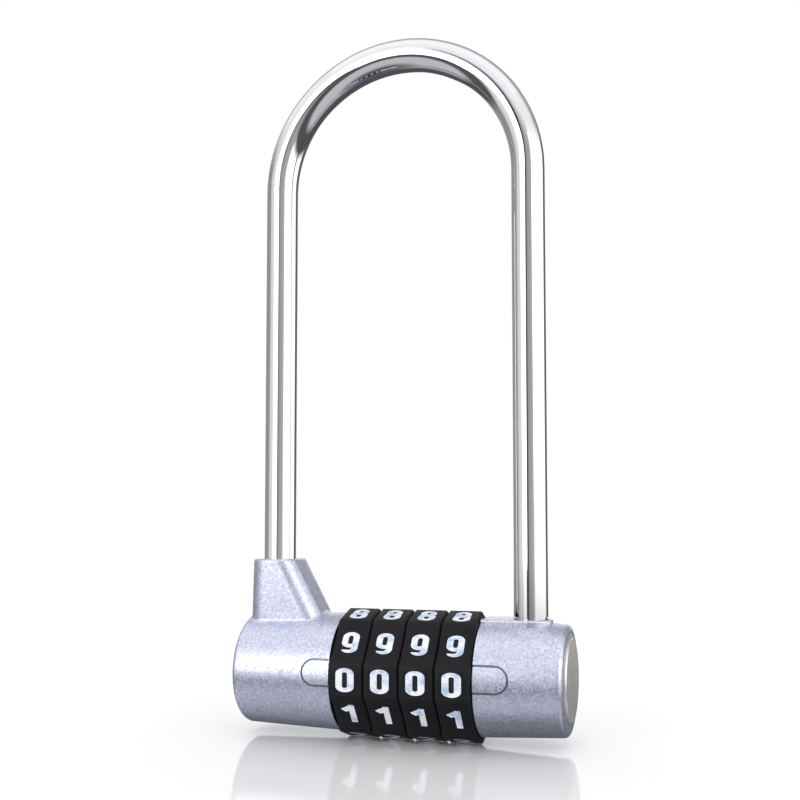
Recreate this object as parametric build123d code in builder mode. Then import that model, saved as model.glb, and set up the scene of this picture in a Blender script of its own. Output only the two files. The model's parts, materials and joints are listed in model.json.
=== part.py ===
from build123d import *
from math import atan, cos, degrees, radians, sin, sqrt
import os

# A four-dial combination padlock with a long shackle, in millimetres.
# +X runs along the body from the long leg to the short leg, -Y is the side with the
# opening code, +Z is up. The origin lies under the body's axis, midway between the body's
# ends and level with the dials' lowest edge.

# Shackle
rod_radius = 3.0
long_leg_x = -24.5
short_leg_x = 22.5
arch_height = 89.0
heel_depth = 6.5
heel_room = 0.5
toe_depth = 4.2
toe_room = 0.8
toe_radius = 2.8
end_edge = 0.5
neck_radius = 2.05
neck_low = -5.0
neck_length = 2.1
flat_top = 17.0
notch_gap = 0.15
leg_clearance = 0.08
lift_travel = 20.0
overrun = 1.0

# Dials, with five raised and five recessed faces each
dial_count = 4
dial_pitch = 6.25
dial_start = -10.6
dial_seam = 0.15
dial_edge = 0.3
raised_apothem = 11.1
raised_half = 2.65
recessed_apothem = 10.3
recessed_half = 2.5
face_angle = 36.0
dial_bore = 7.7
keyway_radius = 8.25
keyway_width = 1.6
key_overlap = 0.5
face_count = 10

# Casings, cones of revolution that narrow towards the ends
casing_seam = 0.15
left_radius = 10.5
left_end_radius = 9.9
left_end = -29.5
right_radius = 10.2
right_end_radius = 9.45
right_end = 29.2
end_rounding = 0.9

# Turret for the long leg
turret_height = 20.1
turret_low = 7.0
turret_left_top = -28.7
turret_right_top = -20.5
turret_left_low = -29.05
turret_right_low = -13.4
turret_half = 4.8
turret_corner = 3.0
turret_edge = 0.5
turret_foot = 0.8
turret_foot_low = 8.3
rising_slope = 0.5
middle = 0.5

# Pad round the short leg
pad_height = 10.2
pad_radius = 3.8
pad_low = 6.0
pad_edge = 0.35
toe_shoulder = 10.6

# Index marks, a grooved outline beside the dials
mark_height = 4.8
mark_line = 0.35
mark_depth = 0.25
mark_centre = 0.9
mark_length_left = 5.2
mark_length_right = 6.0

# End cap
cap_radius = 7.2
cap_seat = 1.0
cap_proud = 0.4
cap_gap = 0.1
cap_edge = 0.25
rim_groove_radius = 8.2
rim_groove_width = 0.2
rim_groove_depth = 0.25

# Core, a slotted tube that carries the dials
core_radius = 4.6
core_left = -20.3
core_right = 18.3
core_bore = 2.55
nose_bore = 1.58
nose_bore_start = 16.0
slot_width = 2.3
fit_gap = 0.02

# Spindle, whose teeth pass the gates and whose nose holds the short leg
spindle_radius = 2.5
spindle_left = -14.5
spindle_shoulder = 15.9
nose_radius = 1.5
nose_tip = 20.6
nose_edge = 0.3
tooth_offset = 4.2
tooth_thickness = 1.0
tooth_width = 1.8
tooth_reach = 6.0
spindle_travel = 3.2

# Clutch rings, one inside each dial, with the gate that the spindle's tooth passes
clutch_radius = 7.6
clutch_bore = 6.5
clutch_inset = 0.15
flange_bore = 4.68
flange_offset = 2.55
flange_thickness = 1.1
gate_width = 2.2
gate_reach = 6.35
lug_radius = 8.1
lug_width = 1.4
scallop_centre = 6.2
scallop_radius = 0.75
scallop_start = 90.0

# Detent spring, a strip with one folded crown under each dial
strip_floor = 3.65
strip_thickness = 0.3
strip_width = 2.1
strip_inset = 0.4
strip_gap = 0.05
channel_inset = 0.2
crown_width = 1.0
crown_wall = 0.25
crown_centre = 6.15
crown_offset = 0.95
crown_length = 0.9

# Spindle spring
spring_radius = 1.9
spring_wire = 0.2
spring_turns = 5
spring_gap = 0.05

# Pins and washers
pin_radius = 0.75
pin_edge = 0.15
core_pin_height = 3.8
left_pin_x = -16.5
right_pin_x = 16.9
pin_front = -3.4
pin_back = 9.0
heel_pin_radius = 0.8
heel_pin_x = -21.6
heel_pin_height = 16.0
heel_pin_front = -2.6
heel_pin_back = 4.3
washer_bore = 4.75
washer_radius = 8.6
washer_thickness = 0.4
washer_gap = 0.1

# Worked-out places
tip_angle = 2 * face_angle + degrees(atan(raised_half / raised_apothem))
tip_radius = sqrt(raised_apothem**2 + raised_half**2)
axis_z = tip_radius * sin(radians(tip_angle))
dial_end = dial_start + dial_count * dial_pitch
dial_starts = [dial_start + i * dial_pitch for i in range(dial_count)]
left_face = dial_start - casing_seam
right_face = dial_end + casing_seam
travel_ratio = spindle_travel / lift_travel
notch_floor = nose_tip + notch_gap
notch_top = nose_radius + notch_gap
arch_x = (long_leg_x + short_leg_x) / 2
arch_radius = (short_leg_x - long_leg_x) / 2
body_axis = Axis((0, 0, axis_z), (1, 0, 0))
lengthwise = Plane(origin=(0, 0, axis_z), x_dir=(1, 0, 0), z_dir=(0, -1, 0))

os.makedirs("parts", exist_ok=True)


def across(x):
    """Section plane of the body at x, with its own x along +Y and its own y along +Z."""
    return Plane(origin=(x, 0, axis_z), x_dir=(0, 1, 0), z_dir=(1, 0, 0))


def level(height, x=0):
    """Horizontal plane at a height above the body's axis, with its origin at x."""
    return Plane(origin=(x, 0, axis_z + height))


def save(piece, name):
    piece.label = name
    export_step(piece, f"parts/{name}.step")


def casing_cone(inner_x, inner_radius, end_x, end_radius, depth):
    """Solid of revolution of a casing, its skin lowered by depth."""
    with BuildPart() as cone:
        with BuildSketch(lengthwise):
            with BuildLine():
                Polyline(
                    (inner_x, 0),
                    (inner_x, inner_radius - depth),
                    (end_x, end_radius - depth),
                    (end_x, 0),
                    close=True,
                )
            make_face()
        revolve(axis=body_axis)
    return cone.part


def index_mark(inner_x, outward, length, floor):
    """Cutter for the grooved outline beside the dials, open towards them, down to a floor."""
    tip = inner_x + outward * length
    centre = (tip + inner_x - outward * mark_height) / 2
    overall = abs(tip - inner_x) + mark_height
    with BuildPart() as mark:
        with BuildSketch(lengthwise):
            with Locations((centre, mark_centre)):
                SlotOverall(overall, mark_height)
                SlotOverall(
                    overall - 2 * mark_line,
                    mark_height - 2 * mark_line,
                    mode=Mode.SUBTRACT,
                )
        extrude(amount=left_radius + overrun)
        add(floor, mode=Mode.SUBTRACT)
    return mark.part


def cross_pin(x, height, radius, front, back):
    """Pin along Y."""
    with BuildPart() as pin:
        with BuildSketch(Plane(origin=(x, front, axis_z + height), z_dir=(0, 1, 0))):
            Circle(radius)
        extrude(amount=back - front)
        chamfer(pin.edges().filter_by(GeomType.CIRCLE), pin_edge)
    return pin.part


def pin_hole(x, height, radius, front, back):
    """Cutter for a cross pin's blind hole, which opens at the back."""
    with BuildPart() as hole:
        with BuildSketch(Plane(origin=(x, front - fit_gap, axis_z + height), z_dir=(0, 1, 0))):
            Circle(radius + fit_gap / 2)
        extrude(amount=back - front + rod_radius)
    return hole.part


# Long leg, arch and short leg in one rod
with BuildPart() as shackle:
    with BuildLine() as centre_line:
        Line((long_leg_x, 0, axis_z - heel_depth), (long_leg_x, 0, axis_z + arch_height))
        ThreePointArc(
            (long_leg_x, 0, axis_z + arch_height),
            (arch_x, 0, axis_z + arch_height + arch_radius),
            (short_leg_x, 0, axis_z + arch_height),
        )
        Line((short_leg_x, 0, axis_z + arch_height), (short_leg_x, 0, axis_z + toe_shoulder))
    with BuildSketch(level(-heel_depth, long_leg_x)):
        Circle(rod_radius)
    sweep(path=centre_line.line)
    # Toe, turned down a little so that it drops into its hole
    with BuildSketch(level(-toe_depth, short_leg_x)):
        Circle(toe_radius)
    extrude(amount=toe_shoulder + toe_depth)
    ends = shackle.edges().filter_by(GeomType.CIRCLE).sort_by(Axis.Z)
    chamfer(ends[0:2], end_edge)
    # Flat and neck of the heel, which the heel pin rides in
    with BuildSketch(lengthwise):
        with Locations((long_leg_x + neck_radius, flat_top)):
            Rectangle(2 * rod_radius, flat_top - neck_low, align=(Align.MIN, Align.MAX))
    extrude(amount=rod_radius + overrun, both=True, mode=Mode.SUBTRACT)
    with BuildSketch(level(neck_low, long_leg_x)):
        Circle(rod_radius + overrun)
        Circle(neck_radius, mode=Mode.SUBTRACT)
    extrude(amount=neck_length, mode=Mode.SUBTRACT)
    # Notch for the spindle's nose, its lower face sloped at the spindle's travel ratio
    with BuildSketch(lengthwise):
        with BuildLine():
            Polyline(
                (notch_floor - rod_radius, notch_top),
                (notch_floor, notch_top),
                (notch_floor, -notch_top),
                (notch_floor - travel_ratio * (toe_depth - notch_top), -toe_depth),
                (notch_floor - rod_radius, -toe_depth),
                close=True,
            )
        make_face()
    extrude(amount=rod_radius + overrun, both=True, mode=Mode.SUBTRACT)
save(shackle.part, "shackle")


# Turret outline, steep on the left and sloped on the right
with BuildPart() as turret:
    with BuildSketch(lengthwise):
        with BuildLine():
            Polyline(
                (turret_left_low, turret_low),
                (turret_left_top, turret_height),
                (turret_right_top, turret_height),
                (turret_right_low, turret_low),
                close=True,
            )
        make_face()
    extrude(amount=turret_half, both=True)
    rising = turret.edges().filter_by(lambda edge: abs((edge % middle).Z) > rising_slope)
    fillet(rising, turret_corner)

# Left casing with its turret
left_floor = casing_cone(left_face, left_radius, left_end, left_end_radius, mark_depth)
left_mark = index_mark(left_face, -1, mark_length_left, left_floor)
with BuildPart() as left_casing:
    add(casing_cone(left_face, left_radius, left_end, left_end_radius, 0))
    fillet(left_casing.faces().sort_by(Axis.X)[0].edges(), end_rounding)
    add(turret.part)
    foot = left_casing.edges().filter_by(GeomType.BSPLINE)
    foot = foot.filter_by_position(Axis.Z, axis_z + turret_foot_low, axis_z + left_radius)
    fillet(foot, turret_foot)
    fillet(left_casing.faces().sort_by(Axis.Z)[-1].edges(), turret_edge)
    # Hole for the long leg
    with BuildSketch(level(turret_height + overrun, long_leg_x)):
        Circle(rod_radius + leg_clearance)
    extrude(amount=-(turret_height + overrun + heel_depth + heel_room), mode=Mode.SUBTRACT)
    # Socket for the core and seat for the washer
    with BuildSketch(across(left_face)):
        Circle(core_radius + fit_gap)
    extrude(amount=core_left - fit_gap - left_face, mode=Mode.SUBTRACT)
    with BuildSketch(across(left_face)):
        Circle(washer_radius + washer_gap)
    extrude(amount=-(washer_thickness + washer_gap / 2), mode=Mode.SUBTRACT)
    add(left_mark, mode=Mode.SUBTRACT)
    add(pin_hole(left_pin_x, core_pin_height, pin_radius, pin_front, pin_back), mode=Mode.SUBTRACT)
    add(
        pin_hole(heel_pin_x, heel_pin_height, heel_pin_radius, heel_pin_front, heel_pin_back),
        mode=Mode.SUBTRACT,
    )
save(left_casing.part, "left_casing")


# Right casing with its pad
right_floor = casing_cone(right_face, right_radius, right_end, right_end_radius, mark_depth)
right_mark = index_mark(right_face, 1, mark_length_right, right_floor)
with BuildPart() as right_casing:
    add(casing_cone(right_face, right_radius, right_end, right_end_radius, 0))
    fillet(right_casing.faces().sort_by(Axis.X)[-1].edges(), end_rounding)
    with BuildSketch(level(pad_low)):
        with Locations((short_leg_x, 0)):
            Circle(pad_radius)
        with Locations((right_face, 0)):
            Rectangle(short_leg_x - right_face, 2 * pad_radius, align=(Align.MIN, Align.CENTER))
    extrude(amount=pad_height - pad_low)
    fillet(right_casing.faces().sort_by(Axis.Z)[-1].edges().sort_by(Axis.X)[1:], pad_edge)
    # Hole for the short leg
    with BuildSketch(level(pad_height + overrun, short_leg_x)):
        Circle(rod_radius + leg_clearance)
    extrude(amount=-(pad_height + overrun + toe_depth + toe_room), mode=Mode.SUBTRACT)
    # Socket for the core, passage for the nose and seat for the washer
    with BuildSketch(across(right_face)):
        Circle(core_radius + fit_gap)
    extrude(amount=core_right + fit_gap - right_face, mode=Mode.SUBTRACT)
    with BuildSketch(across(right_face)):
        Circle(nose_bore + fit_gap)
    extrude(amount=short_leg_x - right_face, mode=Mode.SUBTRACT)
    with BuildSketch(across(right_face)):
        Circle(washer_radius + washer_gap)
    extrude(amount=washer_thickness + washer_gap / 2, mode=Mode.SUBTRACT)
    # Seat for the end cap, with a fine groove round it
    with BuildSketch(across(right_end)):
        Circle(cap_radius + cap_gap)
    extrude(amount=-cap_seat, mode=Mode.SUBTRACT)
    with BuildSketch(across(right_end)):
        Circle(rim_groove_radius + rim_groove_width / 2)
        Circle(rim_groove_radius - rim_groove_width / 2, mode=Mode.SUBTRACT)
    extrude(amount=-rim_groove_depth, mode=Mode.SUBTRACT)
    add(right_mark, mode=Mode.SUBTRACT)
    add(pin_hole(right_pin_x, core_pin_height, pin_radius, pin_front, pin_back), mode=Mode.SUBTRACT)
save(right_casing.part, "right_casing")


with BuildPart() as end_cap:
    with BuildSketch(across(right_end - cap_seat + fit_gap)):
        Circle(cap_radius)
    extrude(amount=cap_seat + cap_proud - fit_gap)
    chamfer(end_cap.faces().sort_by(Axis.X)[-1].edges(), cap_edge)
save(end_cap.part, "end_cap")


# Core tube, slotted below for the teeth and channelled above for the detent spring
with BuildPart() as core:
    with BuildSketch(across(core_left)):
        Circle(core_radius)
    extrude(amount=core_right - core_left)
    with BuildSketch(across(core_left)):
        Circle(core_bore)
    extrude(amount=nose_bore_start - core_left, mode=Mode.SUBTRACT)
    with BuildSketch(across(core_left)):
        Circle(nose_bore)
    extrude(amount=core_right - core_left, mode=Mode.SUBTRACT)
    with BuildSketch(lengthwise):
        with Locations((core_left, -nose_bore)):
            Rectangle(dial_end - core_left, core_radius, align=(Align.MIN, Align.MAX))
    extrude(amount=slot_width / 2, both=True, mode=Mode.SUBTRACT)
    with BuildSketch(lengthwise):
        with Locations((dial_start + channel_inset, strip_floor - strip_gap)):
            Rectangle(
                dial_end - dial_start - 2 * channel_inset,
                core_radius,
                align=(Align.MIN, Align.MIN),
            )
    extrude(amount=slot_width / 2, both=True, mode=Mode.SUBTRACT)
    add(pin_hole(left_pin_x, core_pin_height, pin_radius, pin_front, pin_back), mode=Mode.SUBTRACT)
    add(pin_hole(right_pin_x, core_pin_height, pin_radius, pin_front, pin_back), mode=Mode.SUBTRACT)
save(core.part, "core")


# Spindle with one tooth for each dial and the nose
with BuildPart() as spindle:
    with BuildSketch(across(spindle_left)):
        Circle(spindle_radius)
    extrude(amount=spindle_shoulder - spindle_left)
    with BuildSketch(across(spindle_shoulder)):
        Circle(nose_radius)
    extrude(amount=nose_tip - spindle_shoulder)
    chamfer(spindle.faces().sort_by(Axis.X)[-1].edges(), nose_edge)
    for start in dial_starts:
        with BuildSketch(across(start + tooth_offset)):
            Rectangle(tooth_width, tooth_reach, align=(Align.CENTER, Align.MAX))
        extrude(amount=tooth_thickness)
save(spindle.part, "spindle")


with BuildPart() as spindle_spring:
    spring_length = spindle_left - core_left - 2 * spring_wire - 2 * spring_gap
    spring_start = core_left + spring_wire + spring_gap
    with BuildLine() as coil_line:
        Helix(
            pitch=spring_length / spring_turns,
            height=spring_length,
            radius=spring_radius,
            center=(spring_start, 0, axis_z),
            direction=(1, 0, 0),
        )
    with BuildSketch(Plane(origin=coil_line.line @ 0, z_dir=coil_line.line % 0)):
        Circle(spring_wire)
    sweep(path=coil_line.line, is_frenet=True)
save(spindle_spring.part, "spindle_spring")


save(
    cross_pin(heel_pin_x, heel_pin_height, heel_pin_radius, heel_pin_front, heel_pin_back),
    "heel_pin",
)
save(cross_pin(left_pin_x, core_pin_height, pin_radius, pin_front, pin_back), "left_core_pin")
save(cross_pin(right_pin_x, core_pin_height, pin_radius, pin_front, pin_back), "right_core_pin")


for name, washer_x in (
    ("left_washer", left_face - washer_thickness),
    ("right_washer", right_face),
):
    with BuildPart() as washer:
        with BuildSketch(across(washer_x)):
            Circle(washer_radius)
            Circle(washer_bore, mode=Mode.SUBTRACT)
        extrude(amount=washer_thickness)
    save(washer.part, name)


# Detent spring, whose crowns click into the clutch rings
with BuildPart() as detent_spring:
    with BuildSketch(lengthwise):
        with Locations((dial_start + strip_inset, strip_floor)):
            Rectangle(
                dial_end - dial_start - 2 * strip_inset,
                strip_thickness,
                align=(Align.MIN, Align.MIN),
            )
    extrude(amount=strip_width / 2, both=True)
    for start in dial_starts:
        with BuildSketch(across(start + crown_offset)):
            for width, foot, mode in (
                (crown_width, strip_floor + strip_thickness / 2, Mode.ADD),
                (crown_width - 2 * crown_wall, strip_floor + strip_thickness, Mode.SUBTRACT),
            ):
                with Locations((0, foot)):
                    Rectangle(
                        width, crown_centre - foot, align=(Align.CENTER, Align.MIN), mode=mode
                    )
                with Locations((0, crown_centre)):
                    Circle(width / 2, mode=mode)
        extrude(amount=crown_length)
save(detent_spring.part, "detent_spring")


def face_point(apothem, along, angle):
    """Point on a dial face: angle turns down from the front, along goes the same way."""
    turn = radians(angle)
    return (
        -apothem * cos(turn) + along * sin(turn),
        -apothem * sin(turn) - along * cos(turn),
    )


def dial_outline():
    points = []
    for i in range(face_count // 2):
        raised = 2 * i * face_angle
        recessed = raised + face_angle
        points.append(face_point(raised_apothem, -raised_half, raised))
        points.append(face_point(raised_apothem, raised_half, raised))
        points.append(face_point(recessed_apothem, -recessed_half, recessed))
        points.append(face_point(recessed_apothem, recessed_half, recessed))
    return points


def make_dial(start):
    """Dial ring with ten number faces and ten keyways for its clutch ring."""
    width = dial_pitch - dial_seam
    with BuildPart() as dial:
        with BuildSketch(across(start + dial_seam / 2)):
            with BuildLine():
                Polyline(*dial_outline(), close=True)
            make_face()
        extrude(amount=width)
        for side in (0, -1):
            chamfer(dial.faces().sort_by(Axis.X)[side].edges(), dial_edge)
        with BuildSketch(across(start)):
            Circle(dial_bore)
            with PolarLocations(dial_bore - key_overlap, face_count):
                Rectangle(
                    keyway_radius - dial_bore + key_overlap,
                    keyway_width,
                    align=(Align.MIN, Align.CENTER),
                )
        extrude(amount=dial_pitch, mode=Mode.SUBTRACT)
    return dial.part


def make_clutch(start):
    """Clutch ring: sleeve with lugs outside, gated flange and detent scallops inside."""
    left = start + clutch_inset
    width = dial_pitch - 2 * clutch_inset
    with BuildPart() as clutch:
        with BuildSketch(across(left)):
            Circle(clutch_radius)
            with PolarLocations(clutch_radius - key_overlap, face_count):
                Rectangle(
                    lug_radius - clutch_radius + key_overlap,
                    lug_width,
                    align=(Align.MIN, Align.CENTER),
                )
            Circle(clutch_bore, mode=Mode.SUBTRACT)
        extrude(amount=width)
        with BuildSketch(across(start + flange_offset)):
            Circle((clutch_bore + clutch_radius) / 2)
            Circle(flange_bore, mode=Mode.SUBTRACT)
            with Locations((0, -core_radius / 2)):
                Rectangle(
                    gate_width,
                    gate_reach - core_radius / 2,
                    align=(Align.CENTER, Align.MAX),
                    mode=Mode.SUBTRACT,
                )
        extrude(amount=flange_thickness)
        with BuildSketch(across(left)):
            with PolarLocations(scallop_centre, face_count, start_angle=scallop_start):
                Circle(scallop_radius)
        extrude(amount=flange_offset - clutch_inset, mode=Mode.SUBTRACT)
    return clutch.part


for number, start in enumerate(dial_starts, 1):
    save(make_dial(start), f"dial_{number}")
    save(make_clutch(start), f"clutch_{number}")
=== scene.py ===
import json
import math

import bmesh
import bpy
import numpy as np
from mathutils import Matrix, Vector
from mathutils.geometry import tessellate_polygon


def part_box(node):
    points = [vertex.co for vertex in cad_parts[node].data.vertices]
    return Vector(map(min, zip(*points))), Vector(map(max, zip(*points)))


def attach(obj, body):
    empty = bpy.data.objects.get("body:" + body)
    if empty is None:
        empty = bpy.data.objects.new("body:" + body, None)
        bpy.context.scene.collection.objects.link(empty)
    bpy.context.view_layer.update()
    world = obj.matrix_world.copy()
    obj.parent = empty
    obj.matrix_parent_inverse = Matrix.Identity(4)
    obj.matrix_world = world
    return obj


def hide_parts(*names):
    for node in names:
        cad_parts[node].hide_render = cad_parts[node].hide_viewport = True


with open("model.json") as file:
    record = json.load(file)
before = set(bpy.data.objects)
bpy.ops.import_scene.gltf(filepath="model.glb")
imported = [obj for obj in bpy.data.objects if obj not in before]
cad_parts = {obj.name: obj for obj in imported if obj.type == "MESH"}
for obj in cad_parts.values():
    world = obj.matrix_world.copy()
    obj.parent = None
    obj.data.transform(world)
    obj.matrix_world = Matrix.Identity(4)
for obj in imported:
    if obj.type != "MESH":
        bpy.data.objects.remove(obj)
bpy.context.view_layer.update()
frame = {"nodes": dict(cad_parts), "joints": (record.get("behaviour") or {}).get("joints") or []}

mm = 0.001
nodes = frame["nodes"]
dialHinges = [j for j in frame["joints"] if j["name"].startswith("dial_")]
bodyAxisZ = dialHinges[0]["pos_m"][2]


# small helpers

def link(obj):
    bpy.context.scene.collection.objects.link(obj)
    return obj


def meshObject(name, verts, faces):
    mesh = bpy.data.meshes.new(name)
    mesh.from_pydata([tuple(v) for v in verts], [], faces)
    mesh.update()
    return link(bpy.data.objects.new(name, mesh))


def shadeByAngle(mesh, degrees):
    bm = bmesh.new()
    bm.from_mesh(mesh)
    for face in bm.faces:
        face.smooth = True
    for edge in bm.edges:
        edge.smooth = edge.is_manifold and edge.calc_face_angle(0) < math.radians(degrees)
    bm.to_mesh(mesh)
    bm.free()
    mesh.update()


def newMaterial(name):
    mat = bpy.data.materials.new(name)
    mat.use_nodes = True
    return mat, mat.node_tree, mat.node_tree.nodes["Principled BSDF"]


def addNode(tree, kind, **values):
    node = tree.nodes.new(kind)
    for key, value in values.items():
        setattr(node, key, value)
    return node


def mathNode(tree, operation, a, b=None):
    node = addNode(tree, "ShaderNodeMath", operation=operation)
    for socket, value in zip(node.inputs, (a, b)):
        if value is None:
            continue
        if isinstance(value, (int, float)):
            socket.default_value = value
        else:
            tree.links.new(value, socket)
    return node.outputs[0]


def noiseNode(tree, vector, scale, detail, roughness, stretch=None):
    if stretch:
        mapping = addNode(tree, "ShaderNodeMapping")
        mapping.inputs["Scale"].default_value = stretch
        tree.links.new(vector, mapping.inputs["Vector"])
        vector = mapping.outputs["Vector"]
    node = addNode(tree, "ShaderNodeTexNoise")
    node.inputs["Scale"].default_value = scale
    node.inputs["Detail"].default_value = detail
    node.inputs["Roughness"].default_value = roughness
    tree.links.new(vector, node.inputs["Vector"])
    return node.outputs["Fac"]


def rangeNode(tree, value, fromLow, fromHigh, toLow, toHigh):
    node = addNode(tree, "ShaderNodeMapRange")
    for key, number in (("From Min", fromLow), ("From Max", fromHigh),
                        ("To Min", toLow), ("To Max", toHigh)):
        node.inputs[key].default_value = number
    tree.links.new(value, node.inputs["Value"])
    return node.outputs["Result"]


def mixColours(tree, factor, low, high):
    node = addNode(tree, "ShaderNodeMix", data_type="RGBA")
    tree.links.new(factor, node.inputs["Factor"])
    for socket, value in ((node.inputs[6], low), (node.inputs[7], high)):
        if isinstance(value, tuple):
            socket.default_value = (*value, 1.0)
        else:
            tree.links.new(value, socket)
    return node.outputs[2]


def bumpNode(tree, height, strength, distance, normal=None):
    node = addNode(tree, "ShaderNodeBump")
    node.inputs["Strength"].default_value = strength
    node.inputs["Distance"].default_value = distance
    tree.links.new(height, node.inputs["Height"])
    if normal:
        tree.links.new(normal, node.inputs["Normal"])
    return node.outputs["Normal"]


def objectCoords(tree):
    return addNode(tree, "ShaderNodeTexCoord").outputs["Object"]


# materials

def radiusFromAxis(tree, coords):
    xyz = addNode(tree, "ShaderNodeSeparateXYZ")
    tree.links.new(coords, xyz.inputs["Vector"])
    z = mathNode(tree, "SUBTRACT", xyz.outputs["Z"], bodyAxisZ)
    radius = mathNode(tree, "SQRT", mathNode(
        tree, "ADD", mathNode(tree, "MULTIPLY", z, z),
        mathNode(tree, "MULTIPLY", xyz.outputs["Y"], xyz.outputs["Y"])))
    return xyz.outputs["X"], radius


def blend(tree, *parts):
    total = None
    for value, share in parts:
        term = mathNode(tree, "MULTIPLY", value, share)
        total = term if total is None else mathNode(tree, "ADD", total, term)
    return total


paint = {
    "bright": (0.78, 0.80, 0.93),
    "deep": (0.44, 0.47, 0.62),
    "metallic": 0.88,
    "roughness": (0.28, 0.48),
    "flakeScale": 3900.0,
    "flakeShare": 0.55,
    "flakeBump": (0.35, 0.02 * mm),
    "mottleScale": 2200.0,
    "mottleShare": 0.5,
    "mottleBump": (0.25, 0.03 * mm),
    "cloudScale": 60.0,
    "cloudShare": 0.15,
    "toneRange": (0.2, 0.95),
    "coat": 0.25,
    "coatRoughness": 0.12,
    # painted shade in grooves and seams: its near-black colour, the depth range it grows over, and
    # its strength
    "grooveShadeColour": (0.10, 0.10, 0.125),
    "grooveRange": (0.06 * mm, 0.22 * mm),
    "grooveShadeAmount": 0.8,
    "endRim": 1.0 * mm,
}
# the casings' radius at the dials and at the ends
casingSkin = {
    "left": (10.5 * mm, 9.9 * mm),
    "right": (10.2 * mm, 9.45 * mm),
}


def silverPaint(name, innerX, endX, skinRadii):
    mat, tree, shader = newMaterial(name)
    join = tree.links.new
    coords = objectCoords(tree)
    flakes = addNode(tree, "ShaderNodeTexVoronoi")
    flakes.inputs["Scale"].default_value = paint["flakeScale"]
    join(coords, flakes.inputs["Vector"])
    flakeTone = addNode(tree, "ShaderNodeSeparateColor")
    join(flakes.outputs["Color"], flakeTone.inputs["Color"])
    mottle = noiseNode(tree, coords, paint["mottleScale"], 3.0, 0.7)
    cloud = noiseNode(tree, coords, paint["cloudScale"], 2.0, 0.5)
    tone = blend(tree, (flakeTone.outputs["Red"], paint["flakeShare"]),
                 (mottle, paint["mottleShare"]), (cloud, paint["cloudShare"]))
    tone = rangeNode(tree, tone, *paint["toneRange"], 0.0, 1.0)
    colour = mixColours(tree, tone, paint["deep"], paint["bright"])
    # how far the surface lies below the casing's skin; painted shade darkens the grooves and seams
    # by that depth
    along, radius = radiusFromAxis(tree, coords)
    skin = rangeNode(tree, along, innerX, endX, *skinRadii)
    depth = mathNode(tree, "SUBTRACT", skin, radius)
    paintedGrooveShade = rangeNode(tree, depth, *paint["grooveRange"], 0.0, paint["grooveShadeAmount"])
    # the end faces are painted silver too, so the painted groove shade starts only inside them
    side = math.copysign(1, endX)
    fromRim = mathNode(tree, "SUBTRACT", along, endX - paint["endRim"] * side)
    inside = mathNode(tree, "GREATER_THAN", mathNode(tree, "MULTIPLY", fromRim, -side), 0.0)
    paintedGrooveShade = mathNode(tree, "MULTIPLY", paintedGrooveShade, inside)
    # painted shade: groove and seam floors are mixed toward the near-black shade colour
    join(mixColours(tree, paintedGrooveShade, colour, paint["grooveShadeColour"]), shader.inputs["Base Color"])
    shader.inputs["Metallic"].default_value = paint["metallic"]
    join(rangeNode(tree, flakeTone.outputs["Green"], 0.0, 1.0, *paint["roughness"]),
         shader.inputs["Roughness"])
    shader.inputs["Coat Weight"].default_value = paint["coat"]
    shader.inputs["Coat Roughness"].default_value = paint["coatRoughness"]
    normal = bumpNode(tree, flakeTone.outputs["Blue"], *paint["flakeBump"])
    join(bumpNode(tree, mottle, *paint["mottleBump"], normal), shader.inputs["Normal"])
    return mat


chromeLook = {
    "colours": ((0.76, 0.765, 0.78), (0.83, 0.83, 0.835)),
    "hazeScale": 240.0,
    "hairScale": 900.0,
    "hairStretch": (1.0, 1.0, 0.03),
    "hairRange": (0.3, 0.8),
    "roughness": (0.02, 0.075),
    "bump": (0.06, 0.01 * mm),
}


def chromePlate():
    mat, tree, shader = newMaterial("chromeRod")
    join = tree.links.new
    coords = objectCoords(tree)
    haze = noiseNode(tree, coords, chromeLook["hazeScale"], 3.0, 0.6)
    hairlines = noiseNode(tree, coords, chromeLook["hairScale"], 2.0, 0.5,
                          chromeLook["hairStretch"])
    join(mixColours(tree, haze, *chromeLook["colours"]), shader.inputs["Base Color"])
    shader.inputs["Metallic"].default_value = 1.0
    join(rangeNode(tree, hairlines, *chromeLook["hairRange"], *chromeLook["roughness"]),
         shader.inputs["Roughness"])
    join(bumpNode(tree, hairlines, *chromeLook["bump"]), shader.inputs["Normal"])
    return mat


nickelLook = {
    "colours": ((0.64, 0.615, 0.585), (0.92, 0.89, 0.85)),
    "metallic": 0.74,
    "ringScale": 5200.0,
    "ringShare": 0.6,
    "blotchScale": 210.0,
    "blotchShare": 0.5,
    "blotchRange": (0.2, 0.8),
    "roughness": (0.26, 0.40),
    "bump": (0.25, 0.01 * mm),
}


def turnedNickel():
    mat, tree, shader = newMaterial("endDiscNickel")
    join = tree.links.new
    coords = objectCoords(tree)
    radius = radiusFromAxis(tree, coords)[1]
    ringPoint = addNode(tree, "ShaderNodeCombineXYZ")
    join(radius, ringPoint.inputs["X"])
    rings = noiseNode(tree, ringPoint.outputs["Vector"], nickelLook["ringScale"], 3.0, 0.7)
    blotch = noiseNode(tree, coords, nickelLook["blotchScale"], 3.0, 0.55)
    tone = blend(tree, (rings, nickelLook["ringShare"]), (blotch, nickelLook["blotchShare"]))
    join(mixColours(tree, tone, *nickelLook["colours"]), shader.inputs["Base Color"])
    shader.inputs["Metallic"].default_value = nickelLook["metallic"]
    join(rangeNode(tree, blotch, *nickelLook["blotchRange"], *nickelLook["roughness"]),
         shader.inputs["Roughness"])
    join(bumpNode(tree, rings, *nickelLook["bump"]), shader.inputs["Normal"])
    return mat


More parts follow.
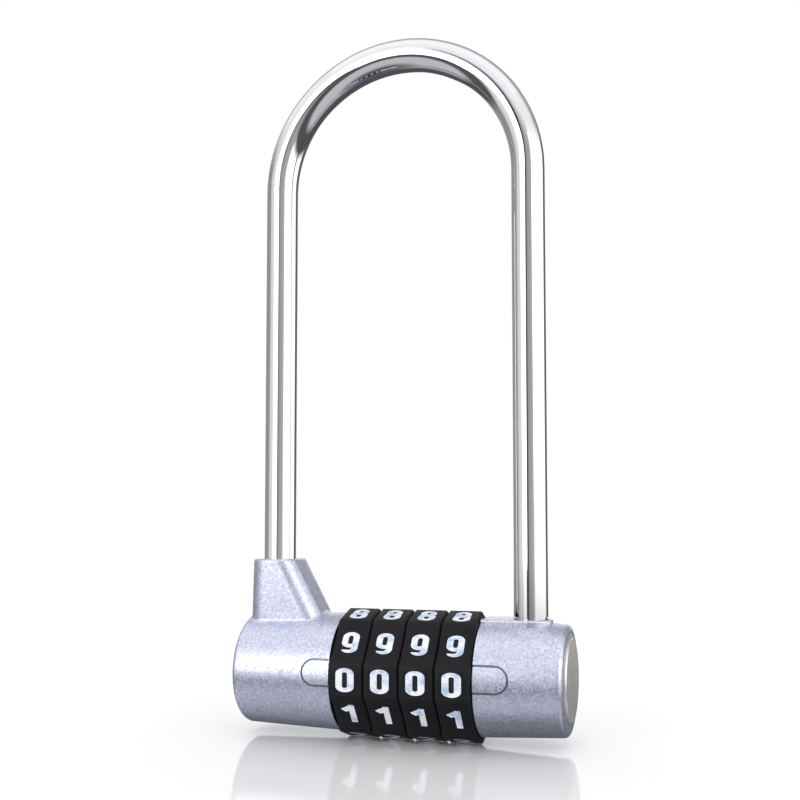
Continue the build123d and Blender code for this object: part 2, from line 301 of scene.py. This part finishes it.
plasticLook = {
    "colours": ((0.006, 0.006, 0.008), (0.015, 0.015, 0.018)),
    "worn": (0.035, 0.035, 0.038),
    "grainScale": 6500.0,
    "grainBump": (0.22, 0.012 * mm),
    "handlingScale": 330.0,
    "handlingRange": (0.25, 0.75),
    "roughness": (0.34, 0.50),
    "edgeRange": (0.52, 0.60),
    "edgeWear": 0.55,
    "specular": 0.12,
}


def dialPlastic():
    mat, tree, shader = newMaterial("dialPlastic")
    join = tree.links.new
    coords = objectCoords(tree)
    grain = noiseNode(tree, coords, plasticLook["grainScale"], 2.0, 0.6)
    handling = noiseNode(tree, coords, plasticLook["handlingScale"], 4.0, 0.6)
    edge = addNode(tree, "ShaderNodeNewGeometry").outputs["Pointiness"]
    wear = rangeNode(tree, edge, *plasticLook["edgeRange"], 0.0, plasticLook["edgeWear"])
    base = mixColours(tree, handling, *plasticLook["colours"])
    join(mixColours(tree, wear, base, plasticLook["worn"]), shader.inputs["Base Color"])
    join(rangeNode(tree, handling, *plasticLook["handlingRange"], *plasticLook["roughness"]),
         shader.inputs["Roughness"])
    shader.inputs["Specular IOR Level"].default_value = plasticLook["specular"]
    join(bumpNode(tree, grain, *plasticLook["grainBump"]), shader.inputs["Normal"])
    return mat


fillLook = {
    "full": (0.84, 0.865, 0.90),
    # painted shade and painted reflection: the darker bluish colour of the numerals' hollow
    # floors, streaked like thin white fill
    "hollowShade": (0.36, 0.48, 0.74),
    "streakScale": 620.0,
    "streakRange": (0.45, 0.68),
    "streakShade": (0.08, 0.95),
    "pitScale": 2600.0,
    "pitRange": (0.68, 0.74),
    "pitDark": 0.8,
    "pitColour": (0.08, 0.09, 0.12),
    "roughFrom": (0.3, 0.7),
    "roughness": (0.22, 0.42),
    "coat": 0.3,
    "coatRoughness": 0.15,
    "bump": (0.3, 0.02 * mm),
}


def numeralPaint():
    mat, tree, shader = newMaterial("numeralPaint")
    join = tree.links.new
    coords = objectCoords(tree)
    hollow = addNode(tree, "ShaderNodeAttribute", attribute_name="hollow").outputs["Fac"]
    streak = noiseNode(tree, coords, fillLook["streakScale"], 2.0, 0.5)
    pits = noiseNode(tree, coords, fillLook["pitScale"], 3.0, 0.7)
    # painted shade and painted reflection: the hollow floor of each numeral is mixed toward the
    # darker bluish colour, in streaks like thin fill
    hollowShade = mathNode(tree, "MULTIPLY", hollow, rangeNode(
        tree, streak, *fillLook["streakRange"], *fillLook["streakShade"]))
    colour = mixColours(tree, hollowShade, fillLook["full"], fillLook["hollowShade"])
    flaw = rangeNode(tree, pits, *fillLook["pitRange"], 0.0, fillLook["pitDark"])
    join(mixColours(tree, flaw, colour, fillLook["pitColour"]), shader.inputs["Base Color"])
    join(rangeNode(tree, pits, *fillLook["roughFrom"], *fillLook["roughness"]),
         shader.inputs["Roughness"])
    shader.inputs["Coat Weight"].default_value = fillLook["coat"]
    shader.inputs["Coat Roughness"].default_value = fillLook["coatRoughness"]
    join(bumpNode(tree, pits, *fillLook["bump"]), shader.inputs["Normal"])
    return mat


metals = {
    "dieCastZinc": {
        "colours": ((0.34, 0.35, 0.37), (0.58, 0.59, 0.61)),
        "roughness": (0.38, 0.52),
        "stretch": (0.4, 1.0, 1.0),
    },
    "pinSteel": {
        "colours": ((0.36, 0.36, 0.37), (0.62, 0.62, 0.63)),
        "roughness": (0.25, 0.39),
        "stretch": (1.0, 0.1, 1.0),
    },
    "springSteel": {
        "colours": ((0.28, 0.28, 0.30), (0.50, 0.50, 0.52)),
        "roughness": (0.28, 0.42),
        "stretch": (0.1, 1.0, 1.0),
    },
    "ringBrass": {
        "colours": ((0.55, 0.40, 0.17), (0.78, 0.61, 0.31)),
        "roughness": (0.27, 0.41),
        "stretch": (0.1, 1.0, 1.0),
    },
}
machining = {
    "lineScale": 1600.0,
    "lineShare": 0.6,
    "stainScale": 260.0,
    "stainShare": 0.4,
    "stainRange": (0.3, 0.7),
    "bump": (0.2, 0.015 * mm),
}


def machined(name):
    look = metals[name]
    mat, tree, shader = newMaterial(name)
    join = tree.links.new
    coords = objectCoords(tree)
    lines = noiseNode(tree, coords, machining["lineScale"], 3.0, 0.65, look["stretch"])
    stain = noiseNode(tree, coords, machining["stainScale"], 3.0, 0.5)
    tone = blend(tree, (lines, machining["lineShare"]), (stain, machining["stainShare"]))
    join(mixColours(tree, tone, *look["colours"]), shader.inputs["Base Color"])
    shader.inputs["Metallic"].default_value = 1.0
    join(rangeNode(tree, stain, *machining["stainRange"], *look["roughness"]),
         shader.inputs["Roughness"])
    join(bumpNode(tree, lines, *machining["bump"]), shader.inputs["Normal"])
    return mat


def setMaterial(nodeName, material):
    mesh = nodes[nodeName].data
    mesh.materials.clear()
    mesh.materials.append(material)


leftLow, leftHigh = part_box("left_casing")
rightLow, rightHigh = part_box("right_casing")
plastic = dialPlastic()
whitePaint = numeralPaint()
steel = machined("pinSteel")
springSteel = machined("springSteel")
brass = machined("ringBrass")

setMaterial("left_casing", silverPaint(
    "silverPaintLeft", leftHigh.x, leftLow.x, casingSkin["left"]))
setMaterial("right_casing", silverPaint(
    "silverPaintRight", rightLow.x, rightHigh.x, casingSkin["right"]))
setMaterial("shackle", chromePlate())
setMaterial("end_cap", turnedNickel())
setMaterial("core", machined("dieCastZinc"))
for steelPart in ("spindle", "heel_pin", "left_core_pin", "right_core_pin",
                  "left_washer", "right_washer"):
    setMaterial(steelPart, steel)
for springName in ("detent_spring", "spindle_spring"):
    setMaterial(springName, springSteel)
for number in range(1, len(dialHinges) + 1):
    setMaterial(f"clutch_{number}", brass)
print("materials ready")


# numerals, drawn as distance fields in millimetres and traced to smooth outlines

numeral = {
    "width": 3.32,
    "height": 4.05,
    "narrow": 0.92,
    "stroke": 1.2,
    "squeeze": 0.585,
    "corner": 0.2,
    "bend": 1.05,
    "step": 0.06,
    "spacing": 0.085,
    "rim": 0.15,
    "depth": 0.16,
    "dish": 0.09,
    "below": 0.015,
    "floorGap": 0.012,
    "cutterTop": 0.5,
    "far": 9.0,
}
halfStroke = numeral["stroke"] / 2
halfWide = numeral["width"] / 2 - halfStroke
topEdge = numeral["height"] / 2 / numeral["squeeze"]
halfTall = topEdge - halfStroke

# each figure's own strokes, before the squeeze
strokes = {
    1: {"stemX": 0.55, "stemHalf": 0.6,
        "tip": (-1.2, 2.3), "shoulder": (0.6, 0.8), "flagHalf": 0.76},
    2: {"bowl": 1.7, "mouthX": 0.5, "mouthTop": 1.05, "bowlEnd": 2.2,
        "slopeTop": (1.02, 0.95), "slopeFoot": (-1.02, 0.75), "footHalf": 1.7},
    3: {"upper": 1.5, "upperInset": 0.05, "upperBend": 1.02, "lower": 1.64,
        "mouthX": -0.2, "upperMouth": (2.4, 0.95), "lowerMouth": (0.95, 2.6)},
    4: {"stemX": 0.6, "barHalf": 1.75, "barY": -1.55,
        "slopeTop": (0.45, 0.4), "slopeFoot": (-1.2, -1.2), "slopeHalf": 0.55},
    5: {"barHalf": 1.55, "postX": -1.0, "postFoot": 0.1, "bowl": 1.85,
        "mouthX": -0.4, "mouth": (0.95, 2.9)},
    7: {"barHalf": 1.7, "legTop": (1.1, 0.5), "legFoot": -0.45},
    8: {"upper": 1.47, "upperInset": 0.12, "upperBend": 1.0, "lower": 1.67},
    9: {"eye": 1.98, "mouthX": 0.2, "mouthFoot": -2.45},
}


def outsideBy(qx, qy):
    return np.hypot(np.maximum(qx, 0), np.maximum(qy, 0)) + np.minimum(np.maximum(qx, qy), 0)


def ring(x, y, cy, hx, hy, bend=numeral["bend"]):
    qx = np.abs(x) - (hx - bend)
    qy = np.abs(y - cy) - (hy - bend)
    box = outsideBy(qx, qy) - bend
    return np.abs(box) - halfStroke


def block(x, y, start, end, half=halfStroke):
    (x0, y0), (x1, y1) = start, end
    length = math.hypot(x1 - x0, y1 - y0)
    ux, uy = (x1 - x0) / length, (y1 - y0) / length
    dx, dy = x - (x0 + x1) / 2, y - (y0 + y1) / 2
    corner = numeral["corner"]
    qx = np.abs(dx * ux + dy * uy) - (length / 2 - corner)
    qy = np.abs(dy * ux - dx * uy) - (half - corner)
    return outsideBy(qx, qy) - corner


def without(shape, x, y, x0, x1, y0, y1):
    slab = np.maximum(np.maximum(x0 - x, x - x1), np.maximum(y0 - y, y - y1))
    return np.maximum(shape, -slab)


def numeralField(digit, x, y):
    # drawn with even strokes, then squeezed in height so that the level strokes come out thinner
    y = y / numeral["squeeze"]
    x = x if digit == 0 else x / numeral["narrow"]
    w, t, top, far = halfWide, halfTall, topEdge, numeral["far"]
    s = strokes.get(9 if digit == 6 else digit)
    if digit == 0:
        return ring(x, y, 0, w, t)
    if digit == 1:
        stem = block(x, y, (s["stemX"], -top), (s["stemX"], top), s["stemHalf"])
        flag = block(x, y, (s["tip"][0], top - s["tip"][1]),
                     (s["shoulder"][0], top - s["shoulder"][1]), s["flagHalf"])
        return np.minimum(stem, flag)
    if digit in (6, 9):
        side = 1 if digit == 9 else -1
        a, b = x * side, y * side
        eye = ring(a, b, t - s["eye"], w, s["eye"])
        hook = without(ring(a, b, 0, w, t), a, b, -far, s["mouthX"], s["mouthFoot"], far)
        return np.minimum(eye, hook)
    if digit == 8:
        upper = ring(x, y, t - s["upper"], w - s["upperInset"], s["upper"], s["upperBend"])
        lower = ring(x, y, s["lower"] - t, w, s["lower"])
        return np.minimum(upper, lower)
    if digit == 3:
        upper = ring(x, y, t - s["upper"], w - s["upperInset"], s["upper"], s["upperBend"])
        lower = ring(x, y, s["lower"] - t, w, s["lower"])
        deep, shallow = s["upperMouth"]
        upper = without(upper, x, y, -far, s["mouthX"], t - deep, t - shallow)
        shallow, deep = s["lowerMouth"]
        lower = without(lower, x, y, -far, s["mouthX"], shallow - t, deep - t)
        return np.minimum(upper, lower)
    if digit == 2:
        bowl = ring(x, y, t - s["bowl"], w, s["bowl"])
        bowl = without(bowl, x, y, -far, s["mouthX"], -far, t - s["mouthTop"])
        bowl = without(bowl, x, y, -far, far, -far, t - s["bowlEnd"])
        slope = block(x, y, s["slopeTop"], (s["slopeFoot"][0], s["slopeFoot"][1] - top))
        level = halfStroke - top
        foot = block(x, y, (-s["footHalf"], level), (s["footHalf"], level))
        return np.minimum(np.minimum(bowl, slope), foot)
    if digit == 5:
        bar = block(x, y, (-s["barHalf"], top - halfStroke), (s["barHalf"], top - halfStroke))
        post = block(x, y, (s["postX"], top), (s["postX"], s["postFoot"]))
        shallow, deep = s["mouth"]
        bowl = without(ring(x, y, s["bowl"] - t, w, s["bowl"]),
                       x, y, -far, s["mouthX"], shallow - t, deep - t)
        return np.minimum(np.minimum(bar, post), bowl)
    if digit == 7:
        bar = block(x, y, (-s["barHalf"], top - halfStroke), (s["barHalf"], top - halfStroke))
        leg = block(x, y, (s["legTop"][0], top - s["legTop"][1]), (s["legFoot"], -top))
        return np.minimum(bar, leg)
    stem = block(x, y, (s["stemX"], -top), (s["stemX"], top))
    bar = block(x, y, (-s["barHalf"], s["barY"]), (s["barHalf"], s["barY"]))
    slope = block(x, y, (s["slopeTop"][0], top - s["slopeTop"][1]), s["slopeFoot"], s["slopeHalf"])
    return np.minimum(np.minimum(stem, bar), slope)


# the area traced, with its grid nudged off the figures' own lines
sheet = {"halfWide": 2.1, "halfTall": 2.5, "nudge": (0.0003, 0.0007)}


def traceField(digit):
    step = numeral["step"]
    xs = np.arange(-sheet["halfWide"], sheet["halfWide"] + step, step) + sheet["nudge"][0]
    ys = np.arange(-sheet["halfTall"], sheet["halfTall"] + step, step) + sheet["nudge"][1]
    field = numeralField(digit, *np.meshgrid(xs, ys))
    inside = field < 0
    crossing, links = {}, {}

    def cut(i0, j0, i1, j1):
        key = (i0, j0, i1, j1)
        if key not in crossing:
            a, b = field[j0, i0], field[j1, i1]
            t = a / (a - b)
            crossing[key] = (xs[i0] + t * (xs[i1] - xs[i0]), ys[j0] + t * (ys[j1] - ys[j0]))
        return key

    for j in range(len(ys) - 1):
        for i in range(len(xs) - 1):
            corners = [(i, j), (i + 1, j), (i + 1, j + 1), (i, j + 1)]
            state = [bool(inside[c[1], c[0]]) for c in corners]
            if all(state) or not any(state):
                continue
            enter, leave = [], []
            for k in range(4):
                a, b = corners[k], corners[(k + 1) % 4]
                if state[k] != state[(k + 1) % 4]:
                    lo, hi = sorted((a, b))
                    key = cut(*lo, *hi)
                    (leave if state[k] else enter).append(key)
            for start, end in zip(leave, enter):
                links[start] = end
    loops = []
    while links:
        start = next(iter(links))
        loop, here = [], start
        while here in links:
            loop.append(here)
            here = links.pop(here)
        loops.append([crossing[key] for key in loop])
    return loops


def tidyLoop(loop, spacing):
    points = np.array(loop)
    keep = [0]
    for i in range(1, len(points)):
        if np.hypot(*(points[i] - points[keep[-1]])) > spacing:
            keep.append(i)
    if np.hypot(*(points[keep[-1]] - points[0])) < spacing * 0.6:
        keep.pop()
    return points[keep]


def inward(digit, points, distance):
    e = 0.01
    x, y = points[:, 0], points[:, 1]
    gx = numeralField(digit, x + e, y) - numeralField(digit, x - e, y)
    gy = numeralField(digit, x, y + e) - numeralField(digit, x, y - e)
    size = np.maximum(np.hypot(gx, gy), 1e-9)
    return np.stack([x - gx / size * distance, y - gy / size * distance], 1)


def capFaces(loops, starts):
    flat = [[Vector((p[0], p[1], 0)) for p in loop] for loop in loops]
    order = [s + i for s, loop in zip(starts, loops) for i in range(len(loop))]
    return [tuple(order[k] for k in tri) for tri in tessellate_polygon(flat)]


def facing(points, tri):
    a, b, c = (points[k] for k in tri)
    return (b[0] - a[0]) * (c[1] - a[1]) - (b[1] - a[1]) * (c[0] - a[0])


def prism(loops, low, high):
    verts, faces, starts = [], [], []
    for level in (high, low):
        for loop in loops:
            starts.append(len(verts))
            verts += [(p[0], p[1], level) for p in loop]
    half = len(loops)
    for tri in capFaces(loops, starts[:half]):
        tri = tri if facing(verts, tri) > 0 else tri[::-1]
        faces.append(tri)
        drop = starts[half] - starts[0]
        faces.append(tuple(k + drop for k in reversed(tri)))
    for loop, s0, s1 in zip(loops, starts[:half], starts[half:]):
        n = len(loop)
        for i in range(n):
            k = (i + 1) % n
            faces.append((s0 + k, s0 + i, s1 + i, s1 + k))
    return verts, faces


def inlay(digit, loops):
    rims = loops
    floors = [inward(digit, loop, numeral["rim"]) for loop in loops]
    rimLevel = -numeral["below"]
    floorLevel = rimLevel - numeral["dish"]
    bottom = -numeral["depth"] + numeral["floorGap"]
    verts, faces, starts, hollow = [], [], [], []
    # the floor layer is marked hollow, where the numeral paint puts its painted shade and painted
    # reflection
    layers = ((rimLevel, rims, 0.0), (floorLevel, floors, 1.0), (bottom, rims, 0.0))
    for level, group, value in layers:
        for loop in group:
            starts.append(len(verts))
            verts += [(p[0], p[1], level) for p in loop]
            hollow += [value] * len(loop)
    n = len(loops)
    for tri in capFaces(floors, starts[n:2 * n]):
        faces.append(tri if facing(verts, tri) > 0 else tri[::-1])
    for tri in capFaces(rims, starts[2 * n:]):
        faces.append(tri[::-1] if facing(verts, tri) > 0 else tri)
    for loop, s0, s1, s2 in zip(rims, starts[:n], starts[n:2 * n], starts[2 * n:]):
        count = len(loop)
        for i in range(count):
            k = (i + 1) % count
            faces.append((s0 + i, s0 + k, s1 + k, s1 + i))
            faces.append((s0 + k, s0 + i, s2 + i, s2 + k))
    return verts, faces, hollow


def flatSet(name, maker):
    verts, faces, digits, hollows = [], [], [], []
    for digit in range(10):
        made = maker(digit)
        offset = len(verts)
        verts += made[0]
        faces += [tuple(k + offset for k in face) for face in made[1]]
        digits += [digit] * len(made[0])
        hollows += made[2] if len(made) > 2 else [0.0] * len(made[0])
    obj = meshObject(name, verts, faces)
    for label, values in (("digit", digits), ("hollow", hollows)):
        attribute = obj.data.attributes.new(label, "FLOAT", "POINT")
        attribute.data.foreach_set("value", [float(v) for v in values])
    return obj


outlines = {}
for digit in range(10):
    outlines[digit] = [tidyLoop(loop, numeral["spacing"]) for loop in traceField(digit)]
numeralInlays = flatSet("numeralSheet", lambda d: inlay(d, outlines[d]))
numeralCutters = flatSet(
    "cutterSheet", lambda d: prism(outlines[d], -numeral["depth"], numeral["cutterTop"]))
print("numerals traced", sum(len(loop) for loops in outlines.values() for loop in loops))


# the sheet of numerals is wrapped round a dial's faces by a node tree

dial = {
    "raisedFace": 11.1,
    "recessedFace": 10.3,
    "faceAngle": 36.0,
    "edgeRound": 0.10,
    "edgeSegments": 2,
    "mergeGap": 0.002,
    "flatAngle": 0.5,
    "edgeAngle": 20,
    "edgeRadius": 9.5,
    "ringSmooth": 30,
    "figureSmooth": 25,
}


def wrapTree():
    tree = bpy.data.node_groups.new("numeralsRoundDial", "GeometryNodeTree")
    face = tree.interface
    face.new_socket("Geometry", in_out="INPUT", socket_type="NodeSocketGeometry")
    for label in ("Raised face", "Recessed face", "Face angle", "Middle", "Axis height"):
        face.new_socket(label, in_out="INPUT", socket_type="NodeSocketFloat")
    face.new_socket("Material", in_out="INPUT", socket_type="NodeSocketMaterial")
    face.new_socket("Geometry", in_out="OUTPUT", socket_type="NodeSocketGeometry")
    ins = tree.nodes.new("NodeGroupInput")
    outs = tree.nodes.new("NodeGroupOutput")
    digit = tree.nodes.new("GeometryNodeInputNamedAttribute")
    digit.data_type = "FLOAT"
    digit.inputs["Name"].default_value = "digit"
    value = digit.outputs["Attribute"]
    odd = mathNode(tree, "MODULO", value, 2.0)
    drop = mathNode(tree, "SUBTRACT", ins.outputs["Raised face"], ins.outputs["Recessed face"])
    apothem = mathNode(tree, "SUBTRACT", ins.outputs["Raised face"],
                       mathNode(tree, "MULTIPLY", drop, odd))
    place = tree.nodes.new("GeometryNodeInputPosition")
    parts = tree.nodes.new("ShaderNodeSeparateXYZ")
    tree.links.new(place.outputs[0], parts.inputs[0])
    out = mathNode(tree, "ADD", mathNode(tree, "MULTIPLY", parts.outputs["Z"], mm), apothem)
    up = mathNode(tree, "MULTIPLY", parts.outputs["Y"], mm)
    angle = mathNode(tree, "MULTIPLY", value, ins.outputs["Face angle"])
    cosine, sine = mathNode(tree, "COSINE", angle), mathNode(tree, "SINE", angle)
    x = mathNode(tree, "ADD", mathNode(tree, "MULTIPLY", parts.outputs["X"], mm),
                 ins.outputs["Middle"])
    y = mathNode(tree, "SUBTRACT",
                 mathNode(tree, "MULTIPLY", mathNode(tree, "MULTIPLY", out, cosine), -1.0),
                 mathNode(tree, "MULTIPLY", up, sine))
    z = mathNode(tree, "SUBTRACT",
                 mathNode(tree, "MULTIPLY", up, cosine),
                 mathNode(tree, "MULTIPLY", out, sine))
    z = mathNode(tree, "ADD", z, ins.outputs["Axis height"])
    join = tree.nodes.new("ShaderNodeCombineXYZ")
    for socket, number in zip(join.inputs, (x, y, z)):
        tree.links.new(number, socket)
    move = tree.nodes.new("GeometryNodeSetPosition")
    realize = tree.nodes.new("GeometryNodeRealizeInstances")
    finish = tree.nodes.new("GeometryNodeSetMaterial")
    tree.links.new(ins.outputs["Geometry"], move.inputs["Geometry"])
    tree.links.new(join.outputs[0], move.inputs["Position"])
    tree.links.new(move.outputs[0], realize.inputs[0])
    tree.links.new(realize.outputs[0], finish.inputs["Geometry"])
    tree.links.new(ins.outputs["Material"], finish.inputs["Material"])
    tree.links.new(finish.outputs[0], outs.inputs["Geometry"])
    return tree


def runTree(source, tree, name, inputs):
    work = source.copy()
    work.data = source.data.copy()
    link(work)
    modifier = work.modifiers.new("tree", "NODES")
    modifier.node_group = tree
    sockets = {item.name: item.identifier for item in tree.interface.items_tree
               if item.item_type == "SOCKET" and item.in_out == "INPUT"}
    for label, value in inputs.items():
        modifier[sockets[label]] = value
    bpy.context.view_layer.update()
    evaluated = work.evaluated_get(bpy.context.evaluated_depsgraph_get())
    mesh = bpy.data.meshes.new_from_object(evaluated)
    bpy.data.objects.remove(work)
    mesh.name = name
    return link(bpy.data.objects.new(name, mesh))


numeralTree = wrapTree()


def dialBlank(nodeName):
    bm = bmesh.new()
    bm.from_mesh(nodes[nodeName].data)
    bmesh.ops.remove_doubles(bm, verts=bm.verts, dist=dial["mergeGap"] * mm)
    bmesh.ops.dissolve_limit(bm, angle_limit=math.radians(dial["flatAngle"]),
                             verts=bm.verts, edges=bm.edges)
    outer = []
    for edge in bm.edges:
        if not edge.is_manifold or edge.calc_face_angle(0) < math.radians(dial["edgeAngle"]):
            continue
        reach = min(math.hypot(v.co.y, v.co.z - bodyAxisZ) for v in edge.verts)
        if reach > dial["edgeRadius"] * mm:
            outer.append(edge)
    bmesh.ops.bevel(bm, geom=outer, offset=dial["edgeRound"] * mm, segments=dial["edgeSegments"],
                    profile=0.5, affect="EDGES", clamp_overlap=True)
    bmesh.ops.recalc_face_normals(bm, faces=bm.faces)
    mesh = bpy.data.meshes.new(nodeName + "_blank")
    bm.to_mesh(mesh)
    bm.free()
    return link(bpy.data.objects.new(nodeName + "_blank", mesh))


for number in range(1, len(dialHinges) + 1):
    node = f"dial_{number}"
    low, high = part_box(node)
    inputs = {
        "Raised face": dial["raisedFace"] * mm,
        "Recessed face": dial["recessedFace"] * mm,
        "Face angle": math.radians(dial["faceAngle"]),
        "Middle": (low.x + high.x) / 2,
        "Axis height": bodyAxisZ,
    }
    figures = runTree(numeralInlays, numeralTree, f"numerals_{number}",
                      {**inputs, "Material": whitePaint})
    cutter = runTree(numeralCutters, numeralTree, f"cutter_{number}",
                     {**inputs, "Material": plastic})
    ringPiece = dialBlank(node)
    ringPiece.data.materials.append(plastic)
    cut = ringPiece.modifiers.new("cut", "BOOLEAN")
    cut.operation = "DIFFERENCE"
    cut.solver = "EXACT"
    cut.object = cutter
    bpy.context.view_layer.update()
    evaluated = ringPiece.evaluated_get(bpy.context.evaluated_depsgraph_get())
    mesh = bpy.data.meshes.new_from_object(evaluated)
    bpy.data.objects.remove(ringPiece)
    bpy.data.objects.remove(cutter)
    shell = link(bpy.data.objects.new(f"dialRing_{number}", mesh))
    shadeByAngle(shell.data, dial["ringSmooth"])
    shadeByAngle(figures.data, dial["figureSmooth"])
    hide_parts(node)
    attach(shell, f"dial_{number}_body")
    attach(figures, f"dial_{number}_body")
    print("dial", number, len(shell.data.polygons), len(figures.data.polygons))
for sheetPiece in (numeralInlays, numeralCutters):
    bpy.data.objects.remove(sheetPiece)


# floor, light and camera

studio = {
    "floorSize": 6.0,
    "floorColour": (0.88, 0.88, 0.89),
    "floorRoughness": 0.09,
    "floorShine": 0.42,
    "floorIor": 1.6,
    "shineReach": (0.0425, 0.17),
}

corners = ((-1, -1), (1, -1), (1, 1), (-1, 1))
floor = meshObject(
    "studioFloor",
    [(sx * studio["floorSize"], sy * studio["floorSize"], 0) for sx, sy in corners],
    [(0, 1, 2, 3)])
floorMaterial, floorTree, floorShader = newMaterial("floorGloss")
floorShader.inputs["Roughness"].default_value = studio["floorRoughness"]
floorShader.inputs["IOR"].default_value = studio["floorIor"]
# away from the product the floor loses its shine, and its colour is painted paler into white:
# painted light, as the lit backdrop washes out
away = addNode(floorTree, "ShaderNodeVectorMath", operation="LENGTH")
floorTree.links.new(objectCoords(floorTree), away.inputs[0])
paintedWashOut = rangeNode(floorTree, away.outputs["Value"], *studio["shineReach"], 0.0, 1.0)
floorTree.links.new(rangeNode(floorTree, paintedWashOut, 0.0, 1.0, studio["floorShine"], 0.0),
                    floorShader.inputs["Specular IOR Level"])
floorTree.links.new(mixColours(floorTree, paintedWashOut, studio["floorColour"], (1.0, 1.0, 1.0)),
                    floorShader.inputs["Base Color"])
floor.data.materials.append(floorMaterial)
floor.visible_glossy = False

# what the shiny pieces mirror: light and dark panels all round, a ceiling and a floor
room = {
    "panels": (
        (-180, 0.34), (-167, 0.34), (-156, 0.76), (-130, 0.92), (-122, 1.45), (-107, 1.5),
        (-104, 0.05), (-93, 0.05), (-88, 0.36), (-58, 0.50), (-46, 1.5), (36, 1.6),
        (44, 0.14), (76, 0.14), (81, 1.1), (131, 1.1), (136, 0.34), (180, 0.34),
    ),
    "ceilingEdge": (0.42, 0.62),
    "ceilingFront": (1.05, 1.05, 1.07),
    "ceilingBehind": (0.42, 0.42, 0.43),
    "behindEdge": (0.10, 0.45),
    "floorEdge": (-0.04, -0.16),
    "floorLevels": ((0.0, 0.10), (0.38, 0.10), (0.50, 0.62), (0.84, 0.58), (0.97, 0.10)),
    "floorBlue": 1.06,
    "floorBehind": (0.09, 0.09, 0.10),
    "plain": (1.0, 1.0, 1.0),
}


def levelRamp(tree, factor, levels, blue=1.0):
    node = addNode(tree, "ShaderNodeValToRGB")
    tree.links.new(factor, node.inputs["Fac"])
    stops = node.color_ramp.elements
    while len(stops) < len(levels):
        stops.new(0.5)
    for stop, (at, level) in zip(stops, levels):
        stop.position = at
        stop.color = (level, level, level * blue, 1)
    return node.outputs["Color"]


world = bpy.data.worlds.new("softStudio")
bpy.context.scene.world = world
world.use_nodes = True
tree = world.node_tree
background = tree.nodes["Background"]
xyz = addNode(tree, "ShaderNodeSeparateXYZ")
tree.links.new(addNode(tree, "ShaderNodeTexCoord").outputs["Generated"], xyz.inputs[0])
azimuth = mathNode(tree, "ARCTAN2", xyz.outputs["Y"], xyz.outputs["X"])
around = mathNode(tree, "ADD", mathNode(tree, "DIVIDE", azimuth, 2 * math.pi), 0.5)
panels = levelRamp(
    tree, around, [((degrees + 180) / 360, level) for degrees, level in room["panels"]])
overhead = rangeNode(tree, xyz.outputs["Z"], *room["ceilingEdge"], 0.0, 1.0)
behind = rangeNode(tree, xyz.outputs["Y"], *room["behindEdge"], 0.0, 1.0)
ceiling = mixColours(tree, behind, room["ceilingFront"], room["ceilingBehind"])
seen = mixColours(tree, overhead, panels, ceiling)
down = mathNode(tree, "MULTIPLY", xyz.outputs["Z"], -1.0)
lower = mixColours(tree, behind, levelRamp(tree, down, room["floorLevels"], room["floorBlue"]),
                   room["floorBehind"])
below = rangeNode(tree, xyz.outputs["Z"], *room["floorEdge"], 0.0, 1.0)
seen = mixColours(tree, below, seen, lower)
glossy = addNode(tree, "ShaderNodeLightPath").outputs["Is Glossy Ray"]
tree.links.new(mixColours(tree, glossy, room["plain"], seen), background.inputs["Color"])
background.inputs["Strength"].default_value = 1.0

softLights = {
    "topLight": {"at": (0.0, -0.05, 0.6), "toward": (0, 0, 0.03),
                 "size": (0.7, 0.5), "power": 0.12},
    "frontLight": {"at": (-0.24, -0.56, 0.17), "toward": (0, 0, 0.03),
                   "size": (0.34, 0.34), "power": 0.7},
    "rightLight": {"at": (0.5, -0.35, 0.25), "toward": (0, 0, 0.04),
                   "size": (0.4, 0.4), "power": 0.6},
}
for name, values in softLights.items():
    light = bpy.data.lights.new(name, "AREA")
    light.shape = "RECTANGLE"
    light.size, light.size_y = values["size"]
    light.energy = values["power"]
    box = link(bpy.data.objects.new(name, light))
    box.location = values["at"]
    aim = Vector(values["toward"]) - Vector(values["at"])
    box.rotation_euler = aim.to_track_quat("-Z", "Y").to_euler()

view = {
    "lens": 46.67,
    "sensor": 36.0,
    "shiftY": 0.08,
    "near": 0.01,
    "at": (0.05616, -0.17764, 0.03773),
    "turn": 17.878,
    "tilt": 3.35,
}
cameraData = bpy.data.cameras.new("productCamera")
camera = link(bpy.data.objects.new("productCamera", cameraData))
cameraData.sensor_width = view["sensor"]
cameraData.lens = view["lens"]
cameraData.shift_y = view["shiftY"]
cameraData.clip_start = view["near"]
camera.location = view["at"]
turn, tilt = math.radians(view["turn"]), math.radians(view["tilt"])
look = Vector((-math.sin(turn) * math.cos(tilt), math.cos(turn) * math.cos(tilt), math.sin(tilt)))
camera.rotation_euler = look.to_track_quat("-Z", "Y").to_euler()
bpy.context.scene.camera = camera
bpy.context.scene.view_settings.view_transform = "Standard"
print("studio ready")
